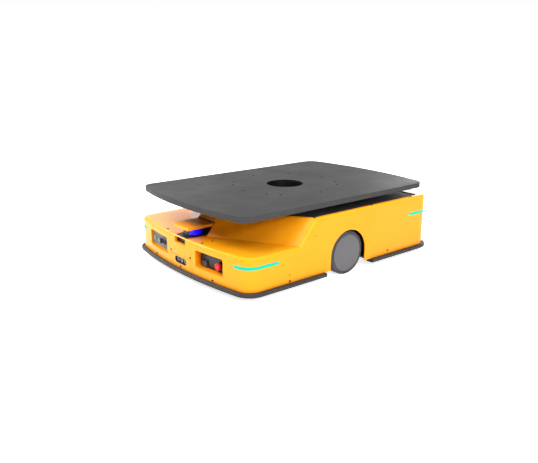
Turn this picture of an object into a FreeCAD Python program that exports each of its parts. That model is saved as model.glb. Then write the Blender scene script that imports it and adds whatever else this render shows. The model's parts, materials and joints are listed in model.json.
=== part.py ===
"""Low load-lifting mobile robot with a turntable.

Frame, in millimetres: +X is forwards, +Y is the robot's left, +Z is up.  The origin is on the
floor, under the turntable's axis, which is also the middle of the drive axle.
"""
import FreeCAD, Part
import math
import os

V = FreeCAD.Vector
X_AXIS, Y_AXIS, Z_AXIS = V(1, 0, 0), V(0, 1, 0), V(0, 0, 1)

# ---- driving dimensions -------------------------------------------------------------------
# body
BODY_HALF_L = 477.5          # to the crown of the bowed ends
BODY_HALF_W = 348.0
BODY_BOW = 35.0              # rise of each end's bow over the body's width
BODY_CORNER_R = 52.0
BODY_Z0, DECK_Z, RAIL_Z = 34.0, 150.0, 233.0
SHEET = 3.0
EDGE_R = 9.0                 # rounding of the deck and rail edges
RAIL_W = 18.0                # orange rail beside the black deck
REAR_RIM = 79.5              # the black deck ends this far ahead of the rear
DECK_CORNER_R = 18.0
NOSE_SETBACK, PROW_NOSE_Y = 72.5, 48.0   # foot of the sloped step, at its flat nose
PROW_NOSE_X = BODY_HALF_L - NOSE_SETBACK
REAR_RIM_X = REAR_RIM - BODY_HALF_L
FAR = 2 * BODY_HALF_L        # reach of cutting tools past the body
PROW_SWEEP = 0.59            # step runs back by this much per mm outwards
PROW_LEAN = 0.892            # and by this much per mm of height
PROW_EDGE_R = 18.0           # rounding between the step and the side wall
PROW_RIM = 10.0

# load plate
PLATE_HALF_L, PLATE_HALF_W, PLATE_BOW, PLATE_CORNER_R = 477.0, 325.0, 38.9, 50.0
PLATE_TOP_Z, PLATE_EDGE_H, PLATE_SHEET = 276.0, 18.0, 6.0
BORE_R = 70.0
BOLT_CIRCLE_R, BOLT_HOLE_R = 200.0, 5.0
BOLT_ANGLES = (0, 30, 45, 90, 135, 150, 180, 210, 225, 270, 315, 330)

# running gear
WHEEL_R, WHEEL_W, WHEEL_FACE_Y = 80.0, 40.0, 341.6
HUB_R, HUB_COVER_R, HUB_SCREW_R = 68.0, 65.2, 51.5
AXLE_R, BRACKET_Y = 12.0, 278.0
ARCH_R = 86.0
CASTER_X, CASTER_Y = BODY_HALF_L - 127.5, BODY_HALF_W - 120.0
CASTER_R, CASTER_W, CASTER_TRAIL = 35.0, 28.0, 25.0
CASTER_TOP_Z, KINGPIN_R, CASTER_PIN_R = 101.0, 8.0, 4.0
FLOOR_Z0, FLOOR_T = 40.0, 6.0

# lift
CARRIAGE_Z0, CARRIAGE_T = 150.0, 8.0
CARRIAGE_X0, CARRIAGE_X1, CARRIAGE_Y = -286.0, 238.0, 238.0
SCREW_X, SCREW_Y, SCREW_R = 213.0, 213.0, 10.0
POST_Y, POST_R = 150.0, 12.0
MAST_TOP_Z = 222.0           # top of the lift screws and guide posts
PULLEY_R, BELT_Z0, BELT_W, BELT_T = 20.0, 60.0, 10.0, 2.0
LIFT_MOTOR_X = -320.0
NUT_R, BUSH_R = 16.0, 19.0

# slewing ring
GEAR_MODULE, RING_TEETH, PINION_TEETH = 5.0, 88, 14
PRESSURE_ANGLE = math.radians(25)
RING_Z0, RING_Z1 = 163.0, 194.0
RING_BORE_R, LINER_T = 187.3, 3.0
PINION_X = -GEAR_MODULE * (RING_TEETH + PINION_TEETH) / 2
PINION_SHAFT_R = 8.0
HUB_TOP_R, HUB_DRUM_R = 193.0, 190.0
DECK_T, RING_OPENING_R, PINION_OPENING_R = 4.0, 234.0, 46.0

# fits
RUNNING = 0.05               # radial clearance of shafts in their bores
GAP = 0.3                    # clearance between other moving faces
BACKLASH = 0.5

# bumper, lights, screws
BUMPER_OUT, BUMPER_Z0, BUMPER_Z1, BUMPER_IN = 13.7, 21.2, 36.0, 20.0
BUMPER_FRONT_END_X, BUMPER_REAR_END_X, BUMPER_EDGE_R = 116.0, -118.0, 4.0
GROOVE_W, GROOVE_Z = 2.5, 30.0   # dark line between the housing and the bumper
LIGHT_H, LIGHT_FRONT_Z, LIGHT_REAR_Z = 10.5, 115.5, 167.8
LIGHT_SIDE, LIGHT_REAR_SIDE, LIGHT_END, LIGHT_PROUD = 154.5, 150.5, 64.0, 0.8   # set in from each end
SCREW_HEAD_R, SCREW_HEAD_H, SMALL_HEAD_R, SHANK_R = 3.6, 1.6, 2.2, 1.8

RAIL_SCREW_X = (157.0, -126.0, -345.0)
DECK_SCREWS = ((19.5, 112.0), (59.5, 115.0))          # from the front, from the middle
SIDE_SCREWS = (("small", 164.0, 173.5), ("large", 274.5, 41.5), ("small", 275.0, 63.0),
               ("large", -212.5, 48.5))
FRONT_SCREWS = ((-184.0, 41.5), (0.0, 41.5), (184.0, 41.5), (-63.0, 89.0), (63.0, 89.0))

# front face
PANEL_HALF_W, PANEL_SEAM_Z, PANEL_DEPTH, SEAM = 69.0, 80.0, 22.5, 0.6
RECESS_Y, RECESS_Z, RECESS_W, RECESS_H, RECESS_CORNER_R = 163.5, 95.0, 143.0, 60.0, 8.0
POWER_DEPTH, SERVICE_DEPTH = 26.0, 12.0
WINDOW_W, WINDOW_H, WINDOW_Z, WINDOW_DEPTH = 68.0, 22.5, 135.4, 15.0
SHROUD_T, SHROUD_FLANGE = 2.0, 2.0
PORT_W, PORT_H, PORT_Z, PORT_DEPTH = 76.0, 25.0, 63.0, 9.0
LIDAR_X, LIDAR_R = BODY_HALF_L - 53.5, 33.0
ROOF_Z0, ROOF_T, ROOF_HALF_W, ROOF_X0 = 180.0, 10.0, 50.0, PROW_NOSE_X - 85.0
CHANNEL_TOP_Z = ROOF_Z0 + ROOF_T + 4.0
CHANNEL_BACK_X = PROW_NOSE_X - 60.0
CHANNEL_HALF_W = ROOF_HALF_W + 3.0
SLOT_FRONT_HALF_W = 38.0
SLEEVE_INSET = 0.6           # of the black sleeve behind the step
PANEL_T = 3.0
SWITCH_W, SWITCH_H, SWITCH_Y, SWITCH_Z, SWITCH_OUT, SWITCH_TILT = 24.0, 20.0, -47.0, -17.0, 4.0, 8.0
STOP_Y, STOP_Z, STOP_HEAD_R, STOP_STEM_R, STOP_COLLAR_R, STOP_TRAVEL = 35.0, -5.5, 12.5, 7.5, 14.5, 4.0
SERVICE_W, SERVICE_H, SERVICE_Z, SERVICE_T = 134.0, 47.0, 0.3, 3.0
BUTTON_Y, BUTTON_R, BUTTON_Z, COLLAR_T = (-47.0, -15.0), 9.0, -1.0, 2.0
KNOB_Y, SOCKET_Y, KNOB_Z, KNOB_R, KNOB_STEM_R = 12.5, 36.5, 2.5, 10.0, 4.0


# ---- helpers ------------------------------------------------------------------------------
def block(x0, x1, y0, y1, z0, z1):
    return Part.makeBox(x1 - x0, y1 - y0, z1 - z0, V(x0, y0, z0))


def rod(r, z0, z1, x=0.0, y=0.0):
    return Part.makeCylinder(r, z1 - z0, V(x, y, z0), Z_AXIS)


def rod_y(r, y0, y1, x=0.0, z=0.0):
    return Part.makeCylinder(r, y1 - y0, V(x, y0, z), Y_AXIS)


def rod_x(r, x0, x1, y=0.0, z=0.0):
    return Part.makeCylinder(r, x1 - x0, V(x0, y, z), X_AXIS)


def tube(r_out, r_in, z0, z1, x=0.0, y=0.0):
    return rod(r_out, z0, z1, x, y).cut(rod(r_in, z0, z1, x, y))


def tube_y(r_out, r_in, y0, y1, x=0.0, z=0.0):
    return rod_y(r_out, y0, y1, x, z).cut(rod_y(r_in, y0, y1, x, z))


def joined(shapes):
    first, *rest = shapes
    return first.multiFuse(rest).removeSplitter() if rest else first


def mirrored(shape):
    return shape.mirror(V(0, 0, 0), Y_AXIS)


def moved(shape, x=0.0, y=0.0, z=0.0):
    copy = shape.copy()
    copy.translate(V(x, y, z))
    return copy


def prism(points, z0, z1):
    ring = [V(x, y, z0) for x, y in points]
    face = Part.Face(Part.makePolygon(ring + ring[:1]))
    return face.extrude(V(0, 0, z1 - z0))


def edges_where(shape, test):
    return [e for e in shape.Edges if test(e)]


def is_vertical(edge):
    a, b = edge.Vertexes[0].Point, edge.Vertexes[-1].Point
    return abs(a.z - b.z) > 1 and math.hypot(a.x - b.x, a.y - b.y) < 1e-3


def lies_at(edge, z):
    box = edge.BoundBox
    return abs(box.ZMin - z) < 1e-3 and abs(box.ZMax - z) < 1e-3


def rounded_box(w, d, h, r):
    """Box centred on y and z, from x = 0 back to x = -d, rounded in the y-z plane."""
    body = block(-d, 0, -w / 2, w / 2, -h / 2, h / 2)
    corners = edges_where(body, lambda e: e.BoundBox.XLength > d - 1e-3)
    return body.makeFillet(r, corners)


def bowed(offset, z0, z1):
    """The body's plan, offset outwards, as a prism."""
    return bowed_plan(BODY_HALF_L, BODY_HALF_W, BODY_BOW, BODY_CORNER_R, offset, z0, z1)


def bowed_plan(half_l, half_w, bow, corner_r, offset, z0, z1):
    radius = (half_w ** 2 + bow ** 2) / (2 * bow) + offset
    w, apex = half_w + offset, half_l + offset
    corner_x = apex - radius + math.sqrt(radius ** 2 - w ** 2)
    rear_r, rear_l = V(-corner_x, -w, z0), V(-corner_x, w, z0)
    front_r, front_l = V(corner_x, -w, z0), V(corner_x, w, z0)
    wire = Part.Wire([
        Part.LineSegment(rear_r, front_r).toShape(),
        Part.Arc(front_r, V(apex, 0, z0), front_l).toShape(),
        Part.LineSegment(front_l, rear_l).toShape(),
        Part.Arc(rear_l, V(-apex, 0, z0), rear_r).toShape(),
    ])
    body = Part.Face(wire).extrude(V(0, 0, z1 - z0))
    return body.makeFillet(corner_r + offset, edges_where(body, is_vertical))


def face_x(y):
    """Where the body's front face is at y."""
    radius = (BODY_HALF_W ** 2 + BODY_BOW ** 2) / (2 * BODY_BOW)
    return BODY_HALF_L - radius + math.sqrt(radius ** 2 - y ** 2)


def face_turn(y):
    """Angle of the front face's normal at y, in degrees from +X."""
    radius = (BODY_HALF_W ** 2 + BODY_BOW ** 2) / (2 * BODY_BOW)
    return math.degrees(math.asin(y / radius))


def on_front(shape, y, z):
    """Place a shape drawn with its outward normal on +X at the front face."""
    copy = shape.copy()
    copy.rotate(V(0, 0, 0), Z_AXIS, face_turn(y))
    copy.translate(V(face_x(y), y, z))
    return copy


# ---- body shell ---------------------------------------------------------------------------
def prow_cut(inset=0.0, floor_z=None):
    """Everything in front of the sloped step, above the front deck or a lower level."""
    floor_z = DECK_Z - inset if floor_z is None else floor_z
    slant = math.sqrt(1 + PROW_SWEEP ** 2 + PROW_LEAN ** 2)
    nose = PROW_NOSE_X - inset * slant + PROW_LEAN * (DECK_Z - floor_z)
    wing = nose - PROW_SWEEP * (FAR - PROW_NOSE_Y)
    height = RAIL_Z + 20 - floor_z
    ring = [(nose, -PROW_NOSE_Y), (nose, PROW_NOSE_Y), (wing, FAR), (FAR, FAR), (FAR, -FAR),
            (wing, -FAR)]
    points = [V(x, y, floor_z) for x, y in ring]
    return Part.Face(Part.makePolygon(points + points[:1])).extrude(V(-PROW_LEAN * height, 0, height))


def soft_top(body, z1):
    return body.makeFillet(EDGE_R, edges_where(body, lambda e: lies_at(e, z1)))


def outer_form():
    """Rear body behind the step, joined to the low front body."""
    rear = bowed(0, BODY_Z0, RAIL_Z).cut(prow_cut(0, BODY_Z0 - 10))

    def step_side(edge):
        box = edge.BoundBox
        return box.YLength < 0.01 and box.ZLength > 40 and box.XLength > 30

    rear = rear.makeFillet(PROW_EDGE_R, edges_where(rear, step_side))
    low = bowed(0, BODY_Z0, DECK_Z)
    return soft_top(rear, RAIL_Z).fuse(soft_top(low, DECK_Z)).removeSplitter()


def inner_form():
    tall = bowed(-SHEET, BODY_Z0 - 1, RAIL_Z - SHEET).cut(prow_cut(SHEET))
    low = bowed(-SHEET, BODY_Z0 - 1, DECK_Z - SHEET)
    return tall.fuse(low).removeSplitter()


def prow_x(y, z):
    return PROW_NOSE_X - PROW_SWEEP * max(abs(y) - PROW_NOSE_Y, 0) - PROW_LEAN * (z - DECK_Z)


def deck_opening(z0, z1, grow=0.0):
    """The hole in the shell's top, which shows the black deck."""
    w = BODY_HALF_W - RAIL_W + grow
    rim = PROW_RIM - grow
    ring = [(REAR_RIM_X - grow, -w), (prow_x(w, RAIL_Z) - rim, -w),
            (prow_x(0, RAIL_Z) - rim, -PROW_NOSE_Y), (prow_x(0, RAIL_Z) - rim, PROW_NOSE_Y),
            (prow_x(w, RAIL_Z) - rim, w), (REAR_RIM_X - grow, w)]
    body = prism(ring, z0, z1)
    rear = edges_where(body, lambda e: is_vertical(e) and e.BoundBox.XMin < REAR_RIM_X + REAR_RIM)
    return body.makeFillet(DECK_CORNER_R, rear)


def recess_block(y, depth, grow=0.0):
    """A front recess, from ahead of the face to its depth behind it."""
    form = rounded_box(RECESS_W + 2 * grow, depth + 10, RECESS_H + 2 * grow, RECESS_CORNER_R + grow)
    return on_front(moved(form, x=10), y, RECESS_Z)


def arch(side, r=ARCH_R):
    y0, y1 = sorted((side * (BODY_HALF_W - WHEEL_W), side * FAR))
    return rod_y(r, y0, y1, 0, WHEEL_R).fuse(block(-r, r, y0, y1, 0, WHEEL_R))


def light_band(zc, front, side, out, inside):
    """One corner light: a band of the body's outline."""
    z0, z1 = zc - LIGHT_H / 2, zc + LIGHT_H / 2
    ring = bowed(out, z0, z1).cut(bowed(inside, z0, z1))
    x0, x1 = (BODY_HALF_L - LIGHT_SIDE, FAR) if front else (-FAR, LIGHT_REAR_SIDE - BODY_HALF_L)
    y0, y1 = sorted((side * (BODY_HALF_W - LIGHT_END), side * FAR))
    return ring.common(block(x0, x1, y0, y1, z0, z1))


def light_slots():
    return [light_band(z, front, side, 2, -SHEET - 2)
            for z, front in ((LIGHT_FRONT_Z, True), (LIGHT_REAR_Z, False)) for side in (1, -1)]


def slot_floor(z0, z1, gap=0.0):
    """Plan of the lidar slot: it widens from the front edge back to the step's nose."""
    y0, y1 = SLOT_FRONT_HALF_W - gap, PROW_NOSE_Y - gap
    front = BODY_HALF_L - 6.0 - gap
    return prism([(PROW_NOSE_X - 30, -y1), (front, -y0), (front, y0), (PROW_NOSE_X - 30, y1)], z0, z1)


def panel_region(z0, z1, gap=0.0):
    """Where the shell is cut for the front panels."""
    back = BODY_HALF_L - PANEL_DEPTH
    return block(back + gap, FAR, -PANEL_HALF_W + gap, PANEL_HALF_W - gap, z0 + gap, z1 - gap)


def closed_shell():
    """The sheet before its openings, with the walls of the two recesses."""
    cavity = inner_form()
    for y, depth in ((RECESS_Y, POWER_DEPTH), (-RECESS_Y, SERVICE_DEPTH + SHEET)):
        cavity = cavity.cut(recess_block(y, depth, SHEET))
    return outer_form().cut(cavity)


def body_shell(closed):
    holes = [recess_block(RECESS_Y, POWER_DEPTH + 1), recess_block(-RECESS_Y, SERVICE_DEPTH)]
    holes += [on_front(bore, -RECESS_Y, RECESS_Z) for bore in service_bores()]
    holes += [arch(1), arch(-1), deck_opening(RAIL_Z - 20, RAIL_Z + 1)] + light_slots()
    holes.append(panel_region(BODY_Z0 - 1, DECK_Z + 1))
    holes.append(slot_floor(DECK_Z - 10, DECK_Z + 1))
    holes.append(block(CHANNEL_BACK_X - 40, PROW_NOSE_X + 1, -CHANNEL_HALF_W, CHANNEL_HALF_W,
                       DECK_Z - 0.01, CHANNEL_TOP_Z))
    return closed.cut(holes[0].multiFuse(holes[1:])).cut(shell_screws())


def service_bores():
    """Bores for the buttons and the knob, through the service plate and the recess's back."""
    bores = [rod_x(BUTTON_R + GAP, -40, 0, y, BUTTON_Z) for y in BUTTON_Y]
    return bores + [rod_x(KNOB_STEM_R + GAP, -40, 0, KNOB_Y, KNOB_Z)]


def front_panels(closed):
    upper = closed.common(panel_region(PANEL_SEAM_Z, DECK_Z + 1, SEAM))
    upper = upper.cut(slot_floor(DECK_Z - 10, DECK_Z + 1))
    window = on_front(moved(rounded_box(WINDOW_W, 30, WINDOW_H, 2.0), x=10), 0, WINDOW_Z)
    lower = closed.common(panel_region(BODY_Z0 - 1, PANEL_SEAM_Z, SEAM))
    port = on_front(moved(rounded_box(PORT_W, 30, PORT_H, PORT_H / 2 - 0.1), x=10), 0, PORT_Z)
    screws = shell_screws()
    return upper.cut(window).cut(screws), lower.cut(port).cut(screws)


# ---- fitted to the shell ------------------------------------------------------------------
def deck_cover():
    z1 = RAIL_Z - SHEET
    plate = inner_form().common(block(-FAR, FAR, -FAR, FAR, z1 - DECK_T, z1))
    plate = plate.common(bowed(-SHEET - 1, z1 - DECK_T - 1, z1 + 1))
    opening = joined([rod(RING_OPENING_R, z1 - 20, z1 + 5),
                      rod(PINION_OPENING_R, z1 - 20, z1 + 5, PINION_X, 0)])
    return plate.cut(opening)


def bumper(front):
    flange = bowed(BUMPER_OUT, BUMPER_Z0, BODY_Z0).cut(bowed(-BUMPER_IN, BUMPER_Z0, BODY_Z0))
    lip = bowed(BUMPER_OUT, BODY_Z0, BUMPER_Z1).cut(bowed(0, BODY_Z0, BUMPER_Z1))
    groove = bowed(GROOVE_W, GROOVE_Z, BUMPER_Z1 + 1).cut(bowed(0, GROOVE_Z, BUMPER_Z1 + 1))
    x0, x1 = (BUMPER_FRONT_END_X, FAR) if front else (-FAR, BUMPER_REAR_END_X)
    strip = flange.fuse(lip).removeSplitter().cut(groove).common(block(x0, x1, -FAR, FAR, 0, RAIL_Z))

    def outer_rim(edge):
        middle = edge.valueAt((edge.FirstParameter + edge.LastParameter) / 2)
        beside = abs(middle.y) > BODY_HALF_W + GROOVE_W + 1
        ahead = abs(middle.x) > face_x(min(abs(middle.y), BODY_HALF_W)) + GROOVE_W + 1
        return (lies_at(edge, BUMPER_Z0) or lies_at(edge, BUMPER_Z1)) and (beside or ahead) and edge.Length > 30

    return strip.makeFillet(BUMPER_EDGE_R, edges_where(strip, outer_rim))


def lights():
    return Part.makeCompound([
        light_band(z, front, side, LIGHT_PROUD, -SHEET - 1)
        for z, front in ((LIGHT_FRONT_Z, True), (LIGHT_REAR_Z, False)) for side in (1, -1)])


def lidar_tray():
    """Black floor of the lidar slot, and the sleeve that lines the channel round the roof."""
    w = CHANNEL_HALF_W - GAP
    x0 = CHANNEL_BACK_X - 30
    top = CHANNEL_TOP_Z - GAP
    floor = slot_floor(DECK_Z - SHEET, DECK_Z, GAP)
    sleeve = block(x0, PROW_NOSE_X - 20, -w, w, DECK_Z - SHEET, top)
    inner = ROOF_HALF_W + GAP
    sleeve = sleeve.cut(block(x0 + 2, PROW_NOSE_X, -inner, inner, DECK_Z, ROOF_Z0 + ROOF_T + GAP))
    sleeve = sleeve.cut(prow_cut(SLEEVE_INSET).common(block(0, FAR, -w - 1, w + 1, DECK_Z + 0.01, top + 1)))
    hole = rod(LIDAR_R + 0.5, DECK_Z - 10, DECK_Z + 10, LIDAR_X, 0)
    return joined([floor, sleeve]).cut(hole)


def lidar_roof():
    roof = block(ROOF_X0, face_x(0) - 3, -ROOF_HALF_W, ROOF_HALF_W, ROOF_Z0, ROOF_Z0 + ROOF_T)
    front = edges_where(roof, lambda e: is_vertical(e) and e.BoundBox.XMin > 400)
    return roof.makeFillet(3.0, front)


def lidar_body():
    return joined([rod(20, DECK_Z - 50, DECK_Z - 5, LIDAR_X, 0), rod(LIDAR_R, DECK_Z - 6, DECK_Z + 5, LIDAR_X, 0)])


def lidar_window():
    return tube(LIDAR_R - 1, LIDAR_R - 6, DECK_Z + 5, ROOF_Z0, LIDAR_X, 0)


def depth_camera():
    """Camera behind the window, on a shroud that meets the back of the panel."""
    body = moved(rounded_box(WINDOW_W - 10, 14, WINDOW_H - 6, 3.0), x=-WINDOW_DEPTH)
    lenses = [rod_x(5.5, -WINDOW_DEPTH, -WINDOW_DEPTH + 1.5, y) for y in (-15, 0, 15)]
    bow = face_x(0) - face_x(WINDOW_W / 2 + SHROUD_FLANGE)
    front = -SHEET - GAP - bow
    back = -WINDOW_DEPTH - SHROUD_T
    shroud = moved(rounded_box(WINDOW_W + 2 * SHROUD_FLANGE, front - back, WINDOW_H + 0.5, 3.0), x=front)
    hollow = moved(rounded_box(WINDOW_W - 1, WINDOW_DEPTH + 10, WINDOW_H - 2, 2.0), x=10)
    return on_front(joined([shroud.cut(hollow), body] + lenses), 0, WINDOW_Z)


def charge_bezel():
    rim = moved(rounded_box(PORT_W - 0.6, PORT_DEPTH + SHEET, PORT_H - 0.6, PORT_H / 2 - 0.5), x=-0.5)
    dish = moved(rounded_box(PORT_W - 6, PORT_DEPTH + 10, PORT_H - 6, PORT_H / 2 - 3.2), x=10)
    return on_front(rim.cut(dish), 0, PORT_Z)


def charge_contacts():
    back = -PORT_DEPTH
    rings = [rod_x(8.0, back, back + 4, y).cut(rod_x(4.0, back + 1, back + 5, y)) for y in (-24, 0, 24)]
    return on_front(Part.makeCompound(rings), 0, PORT_Z)


def panel_plate(depth, w, h, drop=0.0):
    """Plate that closes the back of a recess, drawn with its front at x = -depth."""
    return moved(rounded_box(w, PANEL_T, h, RECESS_CORNER_R), x=-depth, z=drop)


def power_panel():
    plate = panel_plate(POWER_DEPTH, RECESS_W + 2 * SHEET, RECESS_H + 2 * SHEET)
    frame = moved(rounded_box(SWITCH_W + 6, SWITCH_OUT, SWITCH_H + 6, 2.0), -POWER_DEPTH + SWITCH_OUT,
                  SWITCH_Y, SWITCH_Z)
    collar = rod_x(STOP_COLLAR_R, -POWER_DEPTH, -POWER_DEPTH + 6, STOP_Y, STOP_Z)
    form = joined([plate, frame, collar])
    window = moved(rounded_box(SWITCH_W + 2 * GAP, 40, SWITCH_H + 2 * GAP, 1.0), 0, SWITCH_Y, SWITCH_Z)
    bore = rod_x(STOP_STEM_R + GAP, -60, 0, STOP_Y, STOP_Z)
    return on_front(form.cut(window).cut(bore), RECESS_Y, RECESS_Z)


def power_switch():
    """Rocker: a block with a shallow V face, tipped to its pressed side."""
    w, h, rise = SWITCH_W - 1.0, SWITCH_H - 1.0, 2.6
    profile = [(-4.0, -h / 2), (rise, -h / 2), (rise - 1.6, 0), (rise, h / 2), (-4.0, h / 2), (-9.0, 0)]
    ring = [V(x, -w / 2, z) for x, z in profile]
    body = Part.Face(Part.makePolygon(ring + ring[:1])).extrude(V(0, w, 0))
    body.rotate(V(-4, 0, 0), Y_AXIS, SWITCH_TILT)
    return on_front(moved(body, -POWER_DEPTH + SWITCH_OUT - 1.0, SWITCH_Y, SWITCH_Z), RECESS_Y, RECESS_Z)


def stop_button():
    x0 = -POWER_DEPTH + 6 + STOP_TRAVEL + 1
    stem = rod_x(STOP_STEM_R, x0 - 14, x0, STOP_Y, STOP_Z)
    head = rod_x(STOP_HEAD_R, x0, x0 + 9, STOP_Y, STOP_Z)
    rim = edges_where(head, lambda e: e.BoundBox.XMin > x0 + 8.9)
    return on_front(joined([head.makeFillet(4.0, rim), stem]), RECESS_Y, RECESS_Z)


def service_panel():
    front = -SERVICE_DEPTH + SERVICE_T
    face = moved(rounded_box(SERVICE_W, SERVICE_T, SERVICE_H, 5.0), front, 0, SERVICE_Z)
    collars = [rod_x(BUTTON_R + COLLAR_T, -SERVICE_DEPTH, front + COLLAR_T, y, BUTTON_Z) for y in BUTTON_Y]
    bores = service_bores()
    return on_front(joined([face] + collars).cut(bores[0].multiFuse(bores[1:])), -RECESS_Y, RECESS_Z)


def push_button(y):
    x0 = -SERVICE_DEPTH + SERVICE_T + COLLAR_T + 1.5
    cap = rod_x(BUTTON_R, x0 - 10, x0, y, BUTTON_Z)
    rim = edges_where(cap, lambda e: e.BoundBox.XMin > x0 - 0.1)
    return on_front(cap.makeFillet(1.0, rim), -RECESS_Y, RECESS_Z)


def mode_knob():
    x0 = -SERVICE_DEPTH + SERVICE_T + GAP
    base = rod_x(KNOB_R, x0, x0 + 4, KNOB_Y, KNOB_Z)
    grip = block(x0 + 4, x0 + 9, KNOB_Y - 2.5, KNOB_Y + 2.5, KNOB_Z - KNOB_R + 1, KNOB_Z + KNOB_R - 1)
    stem = rod_x(KNOB_STEM_R, x0 - 9, x0, KNOB_Y, KNOB_Z)
    return on_front(joined([base, grip, stem]), -RECESS_Y, RECESS_Z)


def service_socket():
    x0 = -SERVICE_DEPTH + SERVICE_T
    body = rod_x(KNOB_R, x0, x0 + 4, SOCKET_Y, KNOB_Z).cut(rod_x(KNOB_R - 3, x0 + 1, x0 + 5, SOCKET_Y, KNOB_Z))
    pin = rod_x(2.0, x0 + 1, x0 + 3, SOCKET_Y, KNOB_Z)
    return on_front(joined([body, pin]), -RECESS_Y, RECESS_Z)


def shell_screws():
    """Pan-head screws: shank through the sheet, head on its face."""
    up = joined([rod(SCREW_HEAD_R, 0, SCREW_HEAD_H), rod(SHANK_R, -SHEET, 0)])
    small = joined([rod(SMALL_HEAD_R, 0, SCREW_HEAD_H / 4), rod(SHANK_R, -SHEET, 0)])
    left, left_small, ahead = up.copy(), small.copy(), up.copy()
    left.rotate(V(0, 0, 0), X_AXIS, -90)
    left_small.rotate(V(0, 0, 0), X_AXIS, -90)
    ahead.rotate(V(0, 0, 0), Y_AXIS, 90)
    rail_y = BODY_HALF_W - EDGE_R - SCREW_HEAD_R + 0.5
    spots = [moved(up, x, y, RAIL_Z) for x in RAIL_SCREW_X for y in (rail_y, -rail_y)]
    spots += [moved(up, BODY_HALF_L - x, side * y, DECK_Z) for x, y in DECK_SCREWS for side in (1, -1)]
    for screw, x, z in SIDE_SCREWS:
        spot = moved(left if screw == "large" else left_small, x, BODY_HALF_W, z)
        spots += [spot, mirrored(spot)]
    return Part.makeCompound(spots + [on_front(ahead, y, z) for y, z in FRONT_SCREWS])


# ---- chassis ------------------------------------------------------------------------------
def corners(x, y):
    return [(sx * x, sy * y) for sx in (1, -1) for sy in (1, -1)]


def base_frame():
    floor = bowed(-SHEET - 2, FLOOR_Z0, FLOOR_Z0 + FLOOR_T)
    for x, y in corners(CASTER_X, CASTER_Y):
        floor = floor.cut(rod(CASTER_R + CASTER_TRAIL + 6, FLOOR_Z0 - 1, FLOOR_Z0 + FLOOR_T + 1, x, y))
    z0 = FLOOR_Z0 + FLOOR_T
    parts = [floor]
    for side in (1, -1):
        y0, y1 = sorted((side * BRACKET_Y, side * (BODY_HALF_W + 5)))
        parts[0] = parts[0].cut(block(-ARCH_R - 4, ARCH_R + 4, y0, y1, FLOOR_Z0 - 1, z0 + 1))
        y0, y1 = sorted((side * (BRACKET_Y - 16), side * BRACKET_Y))
        beam = block(-270, 270, y0, y1, z0 - FLOOR_T, z0 + 60)
        hollow = block(-271, 271, min(y0, y1) + 3, max(y0, y1) - 3, z0 + 3, z0 + 57)
        parts.append(beam.cut(hollow))
        for x in (120, -300):
            y = side * (BODY_HALF_W - 36)
            parts.append(block(x - 8, x + 8, y - 8, y + 8, z0 - 1, RAIL_Z - SHEET - DECK_T))
        x, y = PROW_NOSE_X - 5, side * 130
        parts.append(block(x - 10, x + 10, y - 10, y + 10, z0 - 1, DECK_Z - SHEET))
    return joined(parts)


def caster_mounts():
    """Bridges over the caster pockets, each with its swivel housing."""
    half, wall = 70.0, 4.0
    bridges = []
    for x, y in corners(CASTER_X, CASTER_Y):
        top = block(x - half, x + half, y - half, y + half, CASTER_TOP_Z - 6, CASTER_TOP_Z)
        legs = [block(x - half, x + half, yy - wall / 2, yy + wall / 2, FLOOR_Z0 + FLOOR_T, CASTER_TOP_Z)
                for yy in (y - half + wall / 2, y + half - wall / 2)]
        cup = rod(24, CASTER_TOP_Z - 17, CASTER_TOP_Z, x, y)
        bore = rod(KINGPIN_R + RUNNING, 0, 200, x, y)
        bridges.append(joined([top, cup] + legs).cut(bore))
    return Part.makeCompound(bridges)


def caster_fork(x, y):
    top = CASTER_TOP_Z - 18
    wheel_x = x - CASTER_TRAIL
    crown = rod(26, top - 5, top, x, y)
    neck = block(wheel_x - 12, x, y - 20, y + 20, top - 5, top)
    pin_z, leg_w, gap = CASTER_R, 4.0, 2.0
    inner = CASTER_W / 2 + gap
    legs = []
    for side in (1, -1):
        y0, y1 = sorted((y + side * inner, y + side * (inner + leg_w)))
        legs += [block(wheel_x - 12, wheel_x + 12, y0, y1, pin_z, top - 2), rod_y(12, y0, y1, wheel_x, pin_z)]
    kingpin = rod(KINGPIN_R, top - 1, CASTER_TOP_Z + 3, x, y)
    axle = rod_y(CASTER_PIN_R, y - inner - leg_w - 2, y + inner + leg_w + 2, wheel_x, pin_z)
    return Part.makeCompound([joined([crown, neck, kingpin] + legs).cut(axle), axle])


def caster_wheel(x, y):
    wheel_x, half = x - CASTER_TRAIL, CASTER_W / 2
    tread = rod_y(CASTER_R, y - half, y + half, wheel_x, CASTER_R)
    hub = rod_y(12, y - half - 1.5, y + half + 1.5, wheel_x, CASTER_R)
    tread = tread.makeFillet(4.0, edges_where(tread, lambda e: e.BoundBox.XLength > 2 * CASTER_R - 1))
    return joined([tread, hub]).cut(rod_y(CASTER_PIN_R + RUNNING, y - 40, y + 40, wheel_x, CASTER_R))


def on_side(shape, side):
    return shape if side > 0 else mirrored(shape)


def wheel_tyre(side):
    y0, y1 = WHEEL_FACE_Y - 2.6 - WHEEL_W, WHEEL_FACE_Y - 2.6
    tyre = rod_y(WHEEL_R, y0, y1, 0, WHEEL_R)
    tyre = tyre.makeFillet(5.0, edges_where(tyre, lambda e: e.BoundBox.XLength > 2 * WHEEL_R - 1))
    return on_side(tyre.cut(rod_y(HUB_R, y0 - 1, y1 + 1, 0, WHEEL_R)), side)


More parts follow.
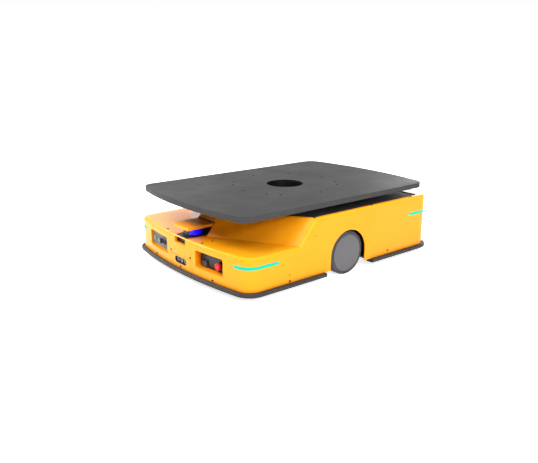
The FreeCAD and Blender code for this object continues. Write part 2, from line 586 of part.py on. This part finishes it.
def wheel_hub(side):
    """Drum of the in-wheel motor, with its cover disc and the cover's three screws."""
    y0, y1 = WHEEL_FACE_Y - 42, WHEEL_FACE_Y - 3
    drum = rod_y(HUB_R, y0, y1, 0, WHEEL_R).cut(rod_y(HUB_R - 5, y0 - 1, y1 - 6, 0, WHEEL_R))
    drum = drum.cut(rod_y(AXLE_R + RUNNING, y0, y1 + 1, 0, WHEEL_R))
    cover = rod_y(HUB_COVER_R, y1, WHEEL_FACE_Y, 0, WHEEL_R)
    cover = cover.makeFillet(1.2, edges_where(cover, lambda e: e.BoundBox.YMin > WHEEL_FACE_Y - 0.1
                                              and e.BoundBox.XLength > HUB_COVER_R))
    screws = [rod_y(3.6, WHEEL_FACE_Y - 2, WHEEL_FACE_Y + 0.4, HUB_SCREW_R * math.cos(math.radians(a)),
                    WHEEL_R + HUB_SCREW_R * math.sin(math.radians(a))) for a in (60, 180, 300)]
    cover = cover.cut(screws[0].multiFuse(screws[1:]))
    return on_side(Part.makeCompound([drum, cover] + screws), side)


def wheel_mounts():
    """Bracket on each side, and the fixed stator of its in-wheel motor on a pressed shaft."""
    plate = block(-60, 60, BRACKET_Y, BRACKET_Y + 8, FLOOR_Z0 + FLOOR_T, 130)
    plate = plate.makeFillet(15.0, edges_where(plate, lambda e: e.BoundBox.ZMin > 129 and
                                               e.BoundBox.XLength < 1))
    plate = plate.cut(rod_y(AXLE_R, BRACKET_Y - 1, BRACKET_Y + 9, 0, WHEEL_R))
    y1 = WHEEL_FACE_Y - 3 - 6 - 2
    stator = rod_y(HUB_R - 5 - 4, y1 - 28, y1, 0, WHEEL_R)
    axle = joined([stator, rod_y(AXLE_R, BRACKET_Y, WHEEL_FACE_Y - 4, 0, WHEEL_R)])
    return Part.makeCompound([plate, axle, mirrored(plate), mirrored(axle)])


def battery_pack():
    body = block(-180, 180, -175, 175, FLOOR_Z0 + FLOOR_T, 112)
    return body.makeFillet(6.0, edges_where(body, is_vertical))


def control_box():
    rear = 27.5 - BODY_HALF_L
    return block(rear, rear + 80, -130, 130, FLOOR_Z0 + FLOOR_T, 110)


# ---- lift ---------------------------------------------------------------------------------
def screw_bearings():
    z0 = FLOOR_Z0 + FLOOR_T
    feet = [block(x - 18, x + 18, y - 18, y + 18, z0, BELT_Z0 - 2).cut(rod(SCREW_R + RUNNING, 0, 100, x, y))
            for x, y in corners(SCREW_X, SCREW_Y)]
    return Part.makeCompound(feet)


def guide_posts():
    z0 = FLOOR_Z0 + FLOOR_T
    return Part.makeCompound([joined([rod(POST_R, z0, MAST_TOP_Z, x, y), rod(20, z0, z0 + 8, x, y)])
                              for x, y in corners(SCREW_X, POST_Y)])


def lift_screw(x, y):
    screw = rod(SCREW_R, FLOOR_Z0 + FLOOR_T + 1, MAST_TOP_Z, x, y)
    pulley = tube(PULLEY_R - GAP, SCREW_R, BELT_Z0 - 1, BELT_Z0 + BELT_W + 1, x, y)
    return Part.makeCompound([screw, pulley])


def lift_belt():
    """Toothed belt round the four screw pulleys and the motor's pulley."""
    centres = [(SCREW_X, -SCREW_Y), (SCREW_X, SCREW_Y), (-SCREW_X, SCREW_Y), (LIFT_MOTOR_X, 0),
               (-SCREW_X, -SCREW_Y)]
    path = Part.makePolygon([V(x, y, BELT_Z0) for x, y in centres + centres[:1]])
    outer = Part.Face(path.makeOffset2D(PULLEY_R + BELT_T)).extrude(V(0, 0, BELT_W))
    return outer.cut(Part.Face(path.makeOffset2D(PULLEY_R)).extrude(V(0, 0, BELT_W)))


def lift_motor():
    x, z0 = LIFT_MOTOR_X, BELT_Z0 + BELT_W + 4
    can = rod(27, z0 + 5, 150, x, 0)
    flange = block(x - 36, x + 36, -38, 38, z0, z0 + 5)
    legs = [rod(4, FLOOR_Z0 + FLOOR_T, z0 + 1, x + dx, dy) for dx in (-31, 31) for dy in (-33, 33)]
    return joined([can, flange] + legs).cut(rod(7, z0 - 1, z0 + 30, x, 0))


def lift_drive_pulley():
    z0 = BELT_Z0 + BELT_W + 4
    return joined([rod(PULLEY_R - GAP, BELT_Z0 - 1, BELT_Z0 + BELT_W + 1, LIFT_MOTOR_X, 0),
                   rod(6, BELT_Z0, z0 + 25, LIFT_MOTOR_X, 0)])


def carriage_plate():
    z0, z1 = CARRIAGE_Z0, CARRIAGE_Z0 + CARRIAGE_T
    plate = block(CARRIAGE_X0, CARRIAGE_X1, -CARRIAGE_Y, CARRIAGE_Y, z0, z1)
    plate = plate.makeFillet(20.0, edges_where(plate, is_vertical))
    holes = [rod(NUT_R, z0 - 1, z1 + 1, x, y) for x, y in corners(SCREW_X, SCREW_Y)]
    holes += [rod(BUSH_R, z0 - 1, z1 + 1, x, y) for x, y in corners(SCREW_X, POST_Y)]
    holes.append(rod(15, z0 - 1, z1 + 1, PINION_X, 0))
    return plate.cut(holes[0].multiFuse(holes[1:]))


def lift_nuts():
    z0 = CARRIAGE_Z0
    nuts = [joined([rod(NUT_R, z0 - 22, z0 + CARRIAGE_T, x, y), rod(NUT_R + 6, z0 - 6, z0, x, y)])
            .cut(rod(SCREW_R + RUNNING, z0 - 30, z0 + 20, x, y)) for x, y in corners(SCREW_X, SCREW_Y)]
    return Part.makeCompound(nuts)


def guide_bushes():
    z0 = CARRIAGE_Z0
    return Part.makeCompound([tube(BUSH_R, POST_R + RUNNING, z0 - 15, z0 + CARRIAGE_T + 15, x, y)
                              for x, y in corners(SCREW_X, POST_Y)])


# ---- slewing ring and turntable -------------------------------------------------------------
def involute_gear(teeth, z0, z1, points, first_angle=0.0):
    """Closed outline of a spur gear with its first tooth on first_angle."""
    pitch_r = GEAR_MODULE * teeth / 2
    base_r = pitch_r * math.cos(PRESSURE_ANGLE)
    tip_r, root_r = pitch_r + 0.8 * GEAR_MODULE, pitch_r - GEAR_MODULE
    start_r = max(base_r, root_r)

    def involute(r):
        a = math.acos(min(1.0, base_r / r))
        return math.tan(a) - a

    half_tooth = math.pi / (2 * teeth) - BACKLASH / (2 * pitch_r)
    radii = [start_r + (tip_r - start_r) * i / (points - 1) for i in range(points)]
    flank = [(r, half_tooth + involute(pitch_r) - involute(r)) for r in radii]
    if root_r < start_r - 0.01:
        flank.insert(0, (root_r, flank[0][1]))
    ring = []
    for tooth in range(teeth):
        middle = first_angle + 2 * math.pi * tooth / teeth
        ring += [(r, middle - a) for r, a in flank] + [(r, middle + a) for r, a in reversed(flank)]
    return prism([(r * math.cos(a), r * math.sin(a)) for r, a in ring], z0, z1)


def slew_inner_ring():
    z0 = CARRIAGE_Z0 + CARRIAGE_T
    return tube(RING_BORE_R - GAP - LINER_T, 150, z0, RING_Z1 - 1)


def slew_liner():
    """Sliding liner that the geared ring turns on."""
    r = RING_BORE_R - GAP
    z0 = CARRIAGE_Z0 + CARRIAGE_T
    return joined([tube(r, r - LINER_T, z0, RING_Z1 - 1), tube(r + 20, r - LINER_T, z0, RING_Z0 - GAP)])


def slew_ring_gear():
    return involute_gear(RING_TEETH, RING_Z0, RING_Z1, 3, math.pi).cut(rod(RING_BORE_R, 100, 300))


def slew_pinion():
    gear = involute_gear(PINION_TEETH, RING_Z0 + 2, RING_Z1, 5, math.pi / PINION_TEETH)
    shaft = rod(PINION_SHAFT_R, CARRIAGE_Z0 - 20, RING_Z1)
    return moved(joined([gear, shaft]), x=PINION_X)


def slew_motor():
    z1 = CARRIAGE_Z0
    return rod(27, z1 - 45, z1, PINION_X, 0).cut(rod(PINION_SHAFT_R + GAP, z1 - 25, z1 + 1, PINION_X, 0))


def up_camera():
    z0 = CARRIAGE_Z0 + CARRIAGE_T
    body = block(-30, 30, -30, 30, z0, z0 + 24)
    body = body.makeFillet(5.0, edges_where(body, is_vertical))
    return joined([body, rod(16, z0 + 24, z0 + 30)]).cut(rod(11, z0 + 28, z0 + 31))


def turntable_hub():
    under = PLATE_TOP_Z - PLATE_SHEET
    z0 = RING_Z1
    head = tube(HUB_TOP_R, BORE_R, under - 6, under)
    sleeve = tube(BORE_R + 3, BORE_R, z0 + 20, under)
    drum = tube(HUB_DRUM_R, HUB_DRUM_R - 8, z0, under)
    foot = tube(HUB_DRUM_R + 22, HUB_DRUM_R - 8, z0, z0 + 8)
    return joined([head, sleeve, drum, foot])


def turntable_plate():
    z0, z1 = PLATE_TOP_Z - PLATE_EDGE_H, PLATE_TOP_Z
    under = z1 - PLATE_SHEET

    def plan(offset, a, b):
        return bowed_plan(PLATE_HALF_L, PLATE_HALF_W, PLATE_BOW, PLATE_CORNER_R, offset, a, b)

    tray = plan(0, z0, z1)
    tray = tray.makeFillet(1.5, edges_where(tray, lambda e: lies_at(e, z1)))
    tray = tray.cut(plan(-6, z0 - 1, under))
    ribs = [block(-430, 430, y - 3, y + 3, z0 + 2, under + 1) for y in (-215, 215)]
    ribs += [block(x - 3, x + 3, -300, 300, z0 + 2, under + 1) for x in (-320, 320)]
    plate = joined([tray] + ribs)
    holes = [rod(BOLT_HOLE_R, z0 - 1, z1 + 1, BOLT_CIRCLE_R * math.cos(math.radians(a)),
                 BOLT_CIRCLE_R * math.sin(math.radians(a))) for a in BOLT_ANGLES]
    holes.append(rod(BORE_R, z0 - 1, z1 + 1))
    return plate.cut(holes[0].multiFuse(holes[1:]))


# ---- write one file per piece ---------------------------------------------------------------
def pieces():
    closed = closed_shell()
    panel_upper, panel_lower = front_panels(closed)
    parts = {
        "base_frame": base_frame(), "body_shell": body_shell(closed),
        "front_panel_upper": panel_upper, "front_panel_lower": panel_lower,
        "deck_cover": deck_cover(), "bumper_front": bumper(True), "bumper_rear": bumper(False),
        "corner_lights": lights(), "lidar_tray": lidar_tray(), "lidar_roof": lidar_roof(),
        "lidar_body": lidar_body(), "lidar_window": lidar_window(), "depth_camera": depth_camera(),
        "charge_bezel": charge_bezel(), "charge_contacts": charge_contacts(),
        "power_panel": power_panel(), "power_switch": power_switch(), "stop_button": stop_button(),
        "service_panel": service_panel(), "service_socket": service_socket(), "mode_knob": mode_knob(),
        "push_button_1": push_button(BUTTON_Y[0]), "push_button_2": push_button(BUTTON_Y[1]),
        "shell_screws": shell_screws(), "caster_mounts": caster_mounts(),
        "wheel_mounts": wheel_mounts(), "battery_pack": battery_pack(), "control_box": control_box(),
        "screw_bearings": screw_bearings(), "guide_posts": guide_posts(), "lift_belt": lift_belt(),
        "lift_motor": lift_motor(), "lift_drive_pulley": lift_drive_pulley(),
        "carriage_plate": carriage_plate(), "lift_nuts": lift_nuts(), "guide_bushes": guide_bushes(),
        "slew_inner_ring": slew_inner_ring(), "slew_liner": slew_liner(),
        "slew_ring_gear": slew_ring_gear(), "slew_pinion": slew_pinion(), "slew_motor": slew_motor(),
        "up_camera": up_camera(), "turntable_hub": turntable_hub(), "turntable_plate": turntable_plate(),
    }
    for side, word in ((1, "left"), (-1, "right")):
        parts["drive_tyre_" + word] = wheel_tyre(side)
        parts["drive_hub_" + word] = wheel_hub(side)
    names = ("front_left", "front_right", "rear_left", "rear_right")
    for name, (x, y) in zip(names, corners(CASTER_X, CASTER_Y)):
        parts["caster_fork_" + name] = caster_fork(x, y)
        parts["caster_wheel_" + name] = caster_wheel(x, y)
    for name, (x, y) in zip(names, corners(SCREW_X, SCREW_Y)):
        parts["lift_screw_" + name] = lift_screw(x, y)
    return parts


os.makedirs("parts", exist_ok=True)
for name, shape in pieces().items():
    shape.exportStep("parts/" + name + ".step")
    box = shape.BoundBox
    print(f"{name:26s} solids {len(shape.Solids):2d} valid {shape.isValid()} volume {shape.Volume / 1000:9.1f} cm3",
          f"x {box.XMin:.0f}..{box.XMax:.0f} y {box.YMin:.0f}..{box.YMax:.0f} z {box.ZMin:.1f}..{box.ZMax:.1f}")
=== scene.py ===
"""Looks of the low load-lifting robot: finishes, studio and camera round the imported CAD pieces.

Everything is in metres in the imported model's frame: +X forwards, +Y the robot's left, +Z up.
"""
import json
import math

import bpy
from mathutils import Matrix, Vector


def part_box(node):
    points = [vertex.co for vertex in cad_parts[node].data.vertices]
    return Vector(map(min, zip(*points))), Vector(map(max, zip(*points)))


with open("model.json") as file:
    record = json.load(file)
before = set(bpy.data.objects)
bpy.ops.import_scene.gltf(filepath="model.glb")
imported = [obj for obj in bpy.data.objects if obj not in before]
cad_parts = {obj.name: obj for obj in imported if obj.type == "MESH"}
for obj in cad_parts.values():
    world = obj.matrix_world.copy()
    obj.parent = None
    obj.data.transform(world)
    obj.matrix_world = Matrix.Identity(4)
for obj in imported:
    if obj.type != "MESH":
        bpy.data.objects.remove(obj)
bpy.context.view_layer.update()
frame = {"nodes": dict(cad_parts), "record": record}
SLOT_OF = {row["node"]: row["material_slot"] for row in frame["record"]["subparts"]}

# ---- camera ---------------------------------------------------------------------------------
CAMERA_PLACE = (1.4948, 1.7361, 0.7525)
CAMERA_YAW, CAMERA_PITCH, CAMERA_ROLL = 230.797, 16.349, 0.074     # degrees
CAMERA_LENS, SENSOR = 40.25, 36.0                                  # millimetres
CAMERA_NEAR, CAMERA_FAR = 0.05, 100


def make_camera():
    """The photograph's view, solved from the outlines of the plate, deck, bumper and wheel."""
    data = bpy.data.cameras.new("camera")
    data.lens, data.sensor_width, data.sensor_fit = CAMERA_LENS, SENSOR, "HORIZONTAL"
    data.clip_start, data.clip_end = CAMERA_NEAR, CAMERA_FAR
    camera = bpy.data.objects.new("camera", data)
    bpy.context.scene.collection.objects.link(camera)
    yaw, pitch = math.radians(CAMERA_YAW), math.radians(CAMERA_PITCH)
    level = math.cos(pitch)
    forward = Vector((level * math.cos(yaw), level * math.sin(yaw), -math.sin(pitch)))
    right = forward.cross(Vector((0, 0, 1))).normalized()
    up = right.cross(forward)
    turn = Matrix((right, up, -forward)).transposed().to_4x4()
    roll = Matrix.Rotation(math.radians(CAMERA_ROLL), 4, "Z")
    camera.matrix_world = Matrix.Translation(CAMERA_PLACE) @ turn @ roll
    bpy.context.scene.camera = camera


# ---- materials ------------------------------------------------------------------------------
MASK_BLUR = 0.0002          # half the width of the soft edge of a mask
SHADE_SAMPLES = 8           # rays that look for what is near, where shade is painted into hollows
ALONG_X, ALONG_Y, ALONG_Z = (1, 0, 0), (0, 1, 0), (0, 0, 1)
BELOW_ALL = -1.0            # lower than any point of the robot
TOP_SKIN = 0.0005           # depth of the load plate's top face in the masks
PAINTED_LIGHT_DROP = 0.001           # how far below its top face the plate's painted light, a lighter edge, starts
BORES_REACH = 0.30          # half the square that holds the load plate's bores, painted dark as shade
BORE_SHADE_REACH = 0.0712       # half the square that holds the turntable's bore, whose inside gets painted shade
SHROUD_DEPTH = 0.0078       # painted front of the depth camera's shroud
GLOW_PAINT_ACROSS = (-0.775, 0.632, 0)             # level direction across the lidar's painted glow, square to the camera's line of sight
GLOW_PAINT_FROM, GLOW_PAINT_TO = -0.008, 0.032            # the painted glow's reach along it, from the lidar's axis
GLOW_PAINT_HEIGHT = 0.021          # the painted glow's height above the window's lower edge


class Finish:
    """A node material with short ways to add what its surface needs."""

    def __init__(self, name, colour, roughness, metallic=0.0):
        self.material = bpy.data.materials.new(name)
        self.material.use_nodes = True
        self.tree = self.material.node_tree
        self.shader = self.tree.nodes["Principled BSDF"]
        self.colour = (*colour, 1.0)
        self.shader.inputs["Base Color"].default_value = self.colour
        self.shader.inputs["Roughness"].default_value = roughness
        self.shader.inputs["Metallic"].default_value = metallic
        self.place = self.tree.nodes.new("ShaderNodeTexCoord").outputs["Object"]
        self.height = None

    def link(self, source, target):
        self.tree.links.new(source, target)

    def stretched(self, scale):
        """The place on the object with its axes scaled; noise is finer along a larger one."""
        node = self.tree.nodes.new("ShaderNodeMapping")
        node.inputs["Scale"].default_value = scale
        self.link(self.place, node.inputs["Vector"])
        return node.outputs["Vector"]

    def noise(self, scale, detail=3.0, rough=0.5, stretch=None):
        node = self.tree.nodes.new("ShaderNodeTexNoise")
        node.inputs["Scale"].default_value = scale
        node.inputs["Detail"].default_value = detail
        node.inputs["Roughness"].default_value = rough
        self.link(self.stretched(stretch) if stretch else self.place, node.inputs["Vector"])
        return node.outputs["Fac"]

    def ranged(self, value, low, high, start=0.3, end=0.7):
        """A value that goes from low to high as another goes from start to end."""
        node = self.tree.nodes.new("ShaderNodeMapRange")
        node.inputs["From Min"].default_value = start
        node.inputs["From Max"].default_value = end
        node.inputs["To Min"].default_value = low
        node.inputs["To Max"].default_value = high
        self.link(value, node.inputs["Value"])
        return node.outputs["Result"]

    def tint(self, value, other, start=0.35, end=0.65):
        """Move the base colour towards another as a texture or mask goes from start to end."""
        node = self.tree.nodes.new("ShaderNodeMix")
        node.data_type = "RGBA"
        last = self.shader.inputs["Base Color"]
        if last.is_linked:
            self.link(last.links[0].from_socket, node.inputs["A"])
        else:
            node.inputs["A"].default_value = self.colour
        node.inputs["B"].default_value = (*other, 1.0)
        self.link(self.ranged(value, 0.0, 1.0, start, end), node.inputs["Factor"])
        self.link(node.outputs["Result"], last)
        return self

    def both(self, first, second):
        """A mask: 1 where two others are 1."""
        node = self.tree.nodes.new("ShaderNodeMath")
        node.operation = "MULTIPLY"
        self.link(first, node.inputs[0])
        self.link(second, node.inputs[1])
        return node.outputs["Value"]

    def where(self, *limits):
        """A mask: 1 inside all limits, each (weights of x, y and z, low, high), and 0 outside."""
        total = None
        for weights, low, high in limits:
            along = self.tree.nodes.new("ShaderNodeVectorMath")
            along.operation = "DOT_PRODUCT"
            along.inputs[1].default_value = weights
            self.link(self.place, along.inputs[0])
            value = along.outputs["Value"]
            above_low = self.ranged(value, 0.0, 1.0, low - MASK_BLUR, low + MASK_BLUR)
            below_high = self.ranged(value, 0.0, 1.0, high + MASK_BLUR, high - MASK_BLUR)
            inside = self.both(above_low, below_high)
            total = self.both(total, inside) if total else inside
        return total

    def paint_shade_in_hollows(self, other, reach, low, high):
        """Painted shade: a deeper colour where the surface is tucked in under or behind something.
        """
        node = self.tree.nodes.new("ShaderNodeAmbientOcclusion")
        node.samples = SHADE_SAMPLES
        node.inputs["Distance"].default_value = reach
        return self.tint(node.outputs["AO"], other, high, low)

    def rough(self, value, low, high):
        self.link(self.ranged(value, low, high), self.shader.inputs["Roughness"])
        return self

    def bump(self, value, distance, strength):
        """A fine relief by a texture, on top of any that is there."""
        node = self.tree.nodes.new("ShaderNodeBump")
        node.inputs["Distance"].default_value = distance
        node.inputs["Strength"].default_value = strength
        self.link(value, node.inputs["Height"])
        if self.height:
            self.link(self.height, node.inputs["Normal"])
        self.height = node.outputs["Normal"]
        self.link(self.height, self.shader.inputs["Normal"])
        return self

    def gloss(self, level):
        self.shader.inputs["Specular IOR Level"].default_value = level
        return self

    def glow(self, colour, strength):
        self.shader.inputs["Emission Color"].default_value = (*colour, 1.0)
        self.shader.inputs["Emission Strength"].default_value = strength
        return self


# Each of these finishes drifts from a first colour to another across the surface.
def powder_coat(name, colour, other, roughness, grain=1400.0, depth=0.00004):
    """Baked powder paint: orange-peel of a noise scale and height, and a faint drift of gloss."""
    f = Finish(name, colour, roughness)
    f.tint(f.noise(5.0, detail=4.0), other, start=0.3, end=0.75)
    f.rough(f.noise(9.0, detail=5.0), roughness - 0.05, roughness + 0.05)
    return f.bump(f.noise(grain, detail=2.0), depth, strength=0.5)


def moulded(name, colour, other, roughness):
    """Moulded plastic: fine spark-eroded texture."""
    f = Finish(name, colour, roughness).gloss(0.3)
    f.tint(f.noise(30.0), other)
    f.rough(f.noise(60.0, detail=4.0), roughness - 0.06, roughness + 0.06)
    return f.bump(f.noise(2500.0, detail=2.0), distance=0.00003, strength=0.6)


def rubber(name, colour, other, roughness=0.7):
    """Moulded rubber: matt and mottled, with a fine grain over faint waves."""
    f = Finish(name, colour, roughness).gloss(0.25)
    f.tint(f.noise(25.0, detail=5.0), other)
    f.rough(f.noise(120.0, detail=4.0), roughness - 0.08, roughness + 0.08)
    f.bump(f.noise(1800.0), distance=0.00006, strength=0.6)
    return f.bump(f.noise(60.0), distance=0.0002, strength=0.2)


def metal(name, colour, roughness, stretch):
    """Machined or drawn metal: fine lines across the axis that stretch makes fine."""
    f = Finish(name, colour, roughness, metallic=1.0)
    lines = f.noise(220.0, detail=5.0, rough=0.6, stretch=stretch)
    f.tint(lines, tuple(channel * 0.82 for channel in colour))
    f.rough(lines, roughness - 0.08, roughness + 0.1)
    return f.bump(lines, distance=0.00003, strength=0.4)


def grey(level):
    """A neutral colour."""
    return level, level, level


def paint_inside(finish, mask, colour):
    """Paint the places where a mask is 1."""
    finish.tint(mask, colour, start=0.4, end=0.6)


def make_shell_paint():
    """Orange paint, with painted shade: a deeper colour where the shell is tucked in."""
    paint = powder_coat("orange_shell", (0.96, 0.395, 0.012), (0.94, 0.375, 0.010), 0.20)
    return paint.gloss(0.12).paint_shade_in_hollows((0.94, 0.29, 0.002), reach=0.16, low=0.25, high=0.8)


def make_plate_paint():
    """The load plate: painted light, a lighter edge under its flat top, and painted shade, dark
    bores.
    """
    paint = powder_coat("plate_grey", grey(0.036), grey(0.031), 0.42, grain=900.0, depth=0.00005)
    paint.gloss(0.03)
    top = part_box("turntable_plate")[1][2]
    painted_shade_bores = paint.where(
        (ALONG_X, -BORES_REACH, BORES_REACH),
        (ALONG_Y, -BORES_REACH, BORES_REACH),
        (ALONG_Z, BELOW_ALL, top - TOP_SKIN),
    )
    # painted light: the plate is lighter everywhere below its top face
    paint_inside(paint, paint.where((ALONG_Z, BELOW_ALL, top - PAINTED_LIGHT_DROP)), grey(0.060))
    # painted shade: below the top face within that square all is dark, the bores' walls with it
    paint_inside(paint, painted_shade_bores, grey(0.012))
    return paint


def make_aluminium():
    """Bare metal, with the inside of the turntable's bore painted dark as shade."""
    bare = metal("aluminium", (0.68, 0.69, 0.70), 0.36, (12, 1, 1))
    painted_bore_shade = bare.where(
        (ALONG_X, -BORE_SHADE_REACH, BORE_SHADE_REACH),
        (ALONG_Y, -BORE_SHADE_REACH, BORE_SHADE_REACH),
    )
    # painted shade: aluminium inside the bore's square is dark
    paint_inside(bare, painted_bore_shade, grey(0.040))
    return bare


def make_camera_black():
    """The depth camera: black, behind a shroud whose front is painted like the shell."""
    black = moulded("camera_black", grey(0.012), grey(0.02), 0.3)
    shroud_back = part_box("depth_camera")[1][0] - SHROUD_DEPTH
    paint_inside(black, black.where((ALONG_X, shroud_back, 1.0)), (0.94, 0.36, 0.004))
    return black


def make_lidar_window():
    """The lidar's dark ring window, with painted glow: blue colour and light over one sector of its
    lower part, placed across the camera's line of sight.
    """
    window = moulded("lidar_glow", (0.006, 0.006, 0.007), (0.008, 0.008, 0.010), 0.12)
    low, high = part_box("lidar_window")
    centre = [(a + b) / 2 for a, b in zip(low, high)]
    offset = GLOW_PAINT_ACROSS[0] * centre[0] + GLOW_PAINT_ACROSS[1] * centre[1]
    painted_glow = window.where(
        (GLOW_PAINT_ACROSS, offset + GLOW_PAINT_FROM, offset + GLOW_PAINT_TO),
        (ALONG_Z, 0.0, low[2] + GLOW_PAINT_HEIGHT),
    )
    # painted glow: blue colour here, and emission below, on the band across the camera's line of
    # sight
    paint_inside(window, painted_glow, (0.01, 0.005, 0.50))
    window.glow((0.004, 0.001, 0.70), 1.0)
    window.link(painted_glow, window.shader.inputs["Emission Strength"])
    return window


def make_light_strip():
    """A lit diffuser: it glows evenly and hardly mirrors."""
    strip = Finish("light_cyan", (0.0, 0.08, 0.05), 0.5)
    return strip.gloss(0.05).glow((0.012, 0.80, 0.52), 1.0)


def make_finishes():
    """One material for each slot of the record."""
    found = {
        "orange_shell": make_shell_paint(),
        "plate_grey": make_plate_paint(),
        "deck_black": powder_coat("deck_black", grey(0.024), grey(0.030), 0.5),
        "frame_grey": powder_coat("frame_grey", (0.07, 0.07, 0.075), (0.05, 0.05, 0.055), 0.5),
        "bumper_rubber": rubber("bumper_rubber", (0.030, 0.027, 0.028), (0.024, 0.021, 0.022), 0.55),
        "tyre_rubber": rubber("tyre_rubber", (0.045, 0.045, 0.05), (0.06, 0.06, 0.062)),
        "hub_grey": powder_coat("hub_grey", (0.092, 0.092, 0.101), (0.082, 0.082, 0.090), 0.45),
        "light_cyan": make_light_strip(),
        "lidar_black": moulded("lidar_black", (0.008, 0.008, 0.01), (0.014, 0.014, 0.016), 0.3),
        "lidar_glow": make_lidar_window(),
        "camera_black": make_camera_black(),
        "black_plastic": moulded("black_plastic", (0.016, 0.016, 0.017), (0.028, 0.028, 0.03), 0.42),
        "grey_plastic": moulded("grey_plastic", (0.085, 0.088, 0.09), (0.065, 0.068, 0.07), 0.4),
        "panel_grey": moulded("panel_grey", (0.13, 0.132, 0.13), (0.11, 0.112, 0.11), 0.5),
        "stop_red": moulded("stop_red", (0.66, 0.012, 0.006), (0.58, 0.010, 0.005), 0.5),
        "button_green": moulded("button_green", (0.15, 0.27, 0.18), (0.12, 0.23, 0.15), 0.45),
        "steel": metal("steel", (0.55, 0.55, 0.56), 0.32, (1, 1, 14)),
        "screw_black": metal("screw_black", (0.045, 0.036, 0.028), 0.45, (1, 1, 1)),
        "contact_metal": metal("contact_metal", (0.24, 0.23, 0.22), 0.4, (1, 1, 1)),
        "aluminium": make_aluminium(),
        "liner_polymer": moulded("liner_polymer", (0.62, 0.60, 0.50), (0.56, 0.54, 0.45), 0.4),
        "belt_rubber": rubber("belt_rubber", grey(0.02), grey(0.03)),
        "battery_blue": moulded("battery_blue", (0.02, 0.05, 0.16), (0.03, 0.06, 0.18), 0.4),
    }
    return {slot: finish.material for slot, finish in found.items()}


def dress_nodes(finishes):
    """Give each CAD node the finish of its slot in the record."""
    for node, piece in frame["nodes"].items():
        for place in piece.material_slots:
            place.material = finishes[SLOT_OF[node]]


# ---- studio -----------------------------------------------------------------------------------
WORLD_LEVEL = 0.22          # strength at which the surroundings light the object
FLOOR_SIZE = 60.0
FLOOR_LIFT = 0.80           # the floor's own light, for what sees it directly


def seen_directly(tree):
    """1 for a ray from the camera, a mirroring surface or through glass, else 0."""
    rays = tree.nodes.new("ShaderNodeLightPath")
    total = rays.outputs["Is Camera Ray"]
    for name in ("Is Glossy Ray", "Is Transmission Ray"):
        node = tree.nodes.new("ShaderNodeMath")
        node.operation = "MAXIMUM"
        tree.links.new(total, node.inputs[0])
        tree.links.new(rays.outputs[name], node.inputs[1])
        total = node.outputs["Value"]
    return total


def make_world():
    """Plain white surroundings; the camera, and what is mirrored, sees pure white."""
    world = bpy.data.worlds.new("studio")
    bpy.context.scene.world = world
    world.use_nodes = True
    tree = world.node_tree
    back = tree.nodes["Background"]
    back.inputs["Color"].default_value = (1, 1, 1, 1)
    level = tree.nodes.new("ShaderNodeMapRange")
    level.inputs["To Min"].default_value = WORLD_LEVEL
    level.inputs["To Max"].default_value = 1.0
    tree.links.new(seen_directly(tree), level.inputs["Value"])
    tree.links.new(level.outputs["Result"], back.inputs["Strength"])


def make_floor():
    """A pale floor that looks white to the camera and keeps the object's faint shadow."""
    mesh = bpy.data.meshes.new("floor")
    half = FLOOR_SIZE / 2
    corners = [(-half, -half, 0), (half, -half, 0), (half, half, 0), (-half, half, 0)]
    mesh.from_pydata(corners, [], [(0, 1, 2, 3)])
    floor = bpy.data.objects.new("floor", mesh)
    bpy.context.scene.collection.objects.link(floor)
    finish = Finish("floor_white", grey(0.92), 0.9).gloss(0.0).glow(grey(1.0), 1.0)
    lift = finish.tree.nodes.new("ShaderNodeMath")
    lift.operation = "MULTIPLY"
    lift.inputs[1].default_value = FLOOR_LIFT
    finish.link(seen_directly(finish.tree), lift.inputs[0])
    finish.link(lift.outputs["Value"], finish.shader.inputs["Emission Strength"])
    mesh.materials.append(finish.material)


def softbox(name, place, aim, size, power):
    """A rectangular lamp of a size in metres and a power in watts, aimed at a point."""
    data = bpy.data.lights.new(name, "AREA")
    data.shape, data.size, data.size_y, data.energy = "RECTANGLE", size[0], size[1], power
    lamp = bpy.data.objects.new(name, data)
    bpy.context.scene.collection.objects.link(lamp)
    lamp.location = place
    lamp.rotation_euler = (Vector(aim) - Vector(place)).to_track_quat("-Z", "Y").to_euler()


def make_lamps():
    """Soft light from above on all sides, and one lamp that catches the step's outer edge."""
    softbox("left_high", (0.0, 2.9, 3.0), (0.1, 0.3, 0.15), (2.4, 1.6), 72)
    softbox("front_high", (2.5, 0.1, 3.2), (0.4, 0, 0.15), (2.4, 1.6), 84)
    softbox("edge_glint", (0.95, 3.35, 1.72), (0.28, 0.345, 0.19), (0.5, 0.5), 42)
    softbox("right_high", (1.5, -3.2, 2.5), (0.4, -0.3, 0.15), (2.4, 1.6), 140)
    softbox("above", (-0.2, 0.2, 3.0), (0, 0, 0.2), (3.0, 3.0), 50)
    softbox("rear_glow_left", (-1.2, -4.2, 1.5), (0, 0, 0.27), (2.0, 1.6), 9)
    softbox("rear_glow_right", (-4.4, -1.4, 1.5), (0, 0, 0.27), (3.0, 1.6), 60)


make_camera()
dress_nodes(make_finishes())
make_world()
make_floor()
make_lamps()

bpy.context.scene.view_settings.view_transform = "Standard"
